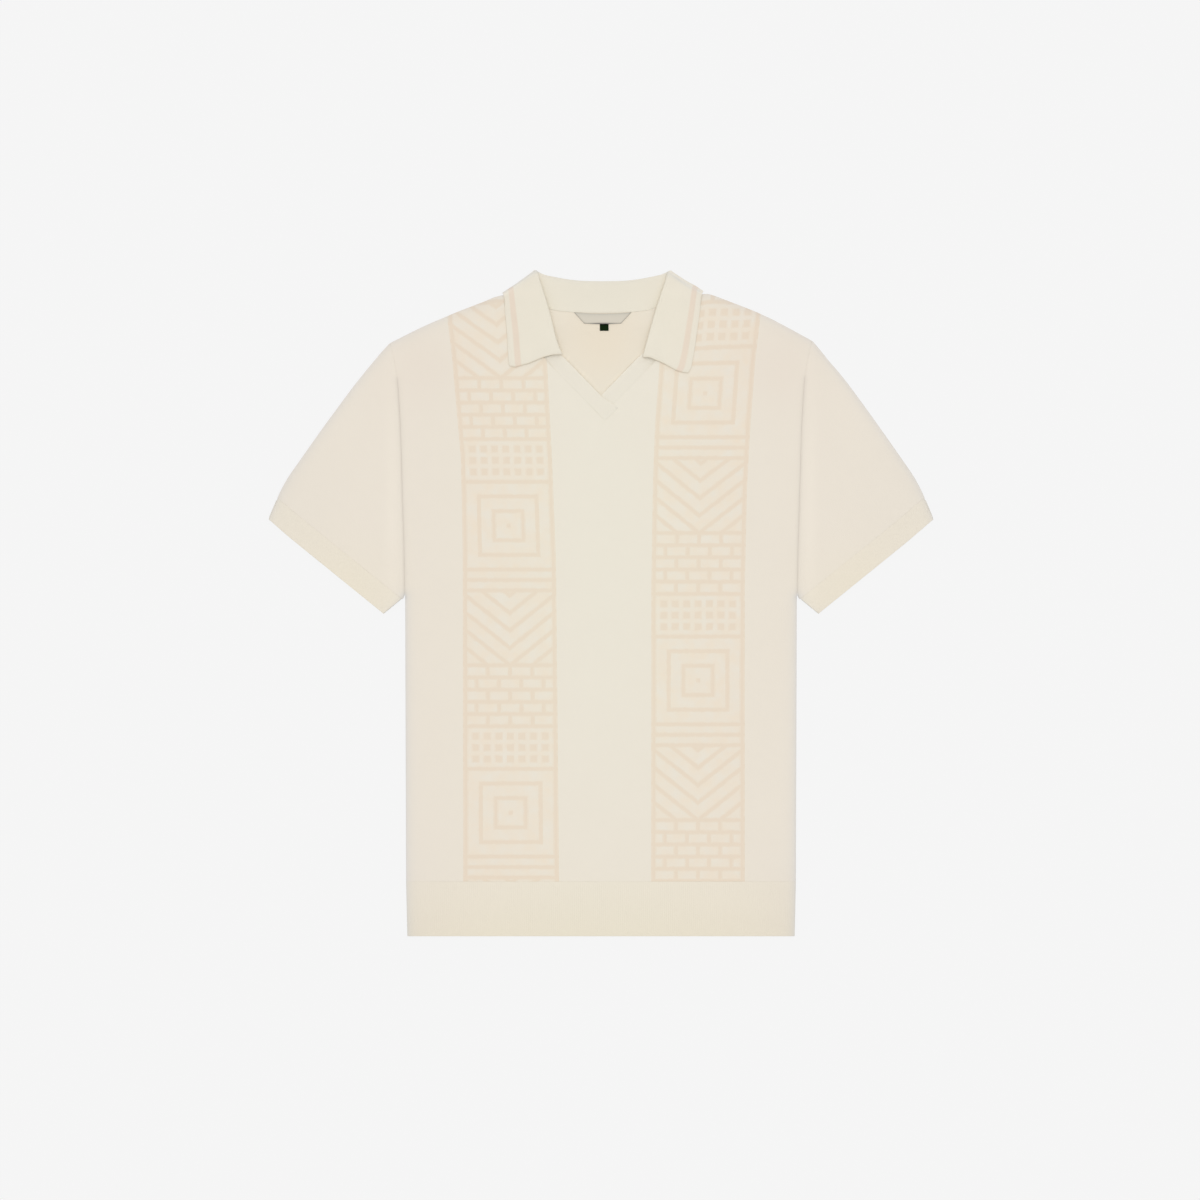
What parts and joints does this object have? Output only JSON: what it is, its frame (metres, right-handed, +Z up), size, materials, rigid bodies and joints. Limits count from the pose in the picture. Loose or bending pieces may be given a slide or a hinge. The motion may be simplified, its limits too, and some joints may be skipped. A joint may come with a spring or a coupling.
{
  "type": "polo shirt",
  "caption": "Short-sleeved knitted polo shirt with an open V neck and turned-down collar, laid flat with its front up.",
  "frame": {"origin": "middle of the shirt's footprint, on the surface that it lies on", "axes": "+Z up, out of the shirt's front; +Y from hem to neck; +X towards the wearer's left"},
  "size_m": [0.7648, 0.765, 0.0094],
  "materials": {
    "body_knit": "fine-gauge cream cotton knit, matt",
    "front_knit": "fine-gauge cream cotton knit with two bands of pale peach jacquard, matt",
    "rib_knit": "cream rib knit, matt",
    "sleeve_knit": "fine-gauge cream cotton knit, matt",
    "collar_knit": "close cream knit with a pale peach tipping stripe, matt",
    "trim_knit": "cream rib knit, matt",
    "label_weave": "pale grey woven satin label, bare",
    "tab_weave": "near-black green woven tape, bare"
  },
  "bodies": {
    "root": {"back_panel": "body_knit", "front_panel": "front_knit", "hem_band_back": "rib_knit", "hem_band_front": "rib_knit", "sleeve_right": "sleeve_knit", "sleeve_left": "sleeve_knit", "cuff_right": "rib_knit", "cuff_left": "rib_knit", "collar": "collar_knit", "neck_trim_right": "trim_knit", "neck_trim_left": "trim_knit", "neck_label": "label_weave", "size_tab": "tab_weave"}
  },
  "joints": []
}
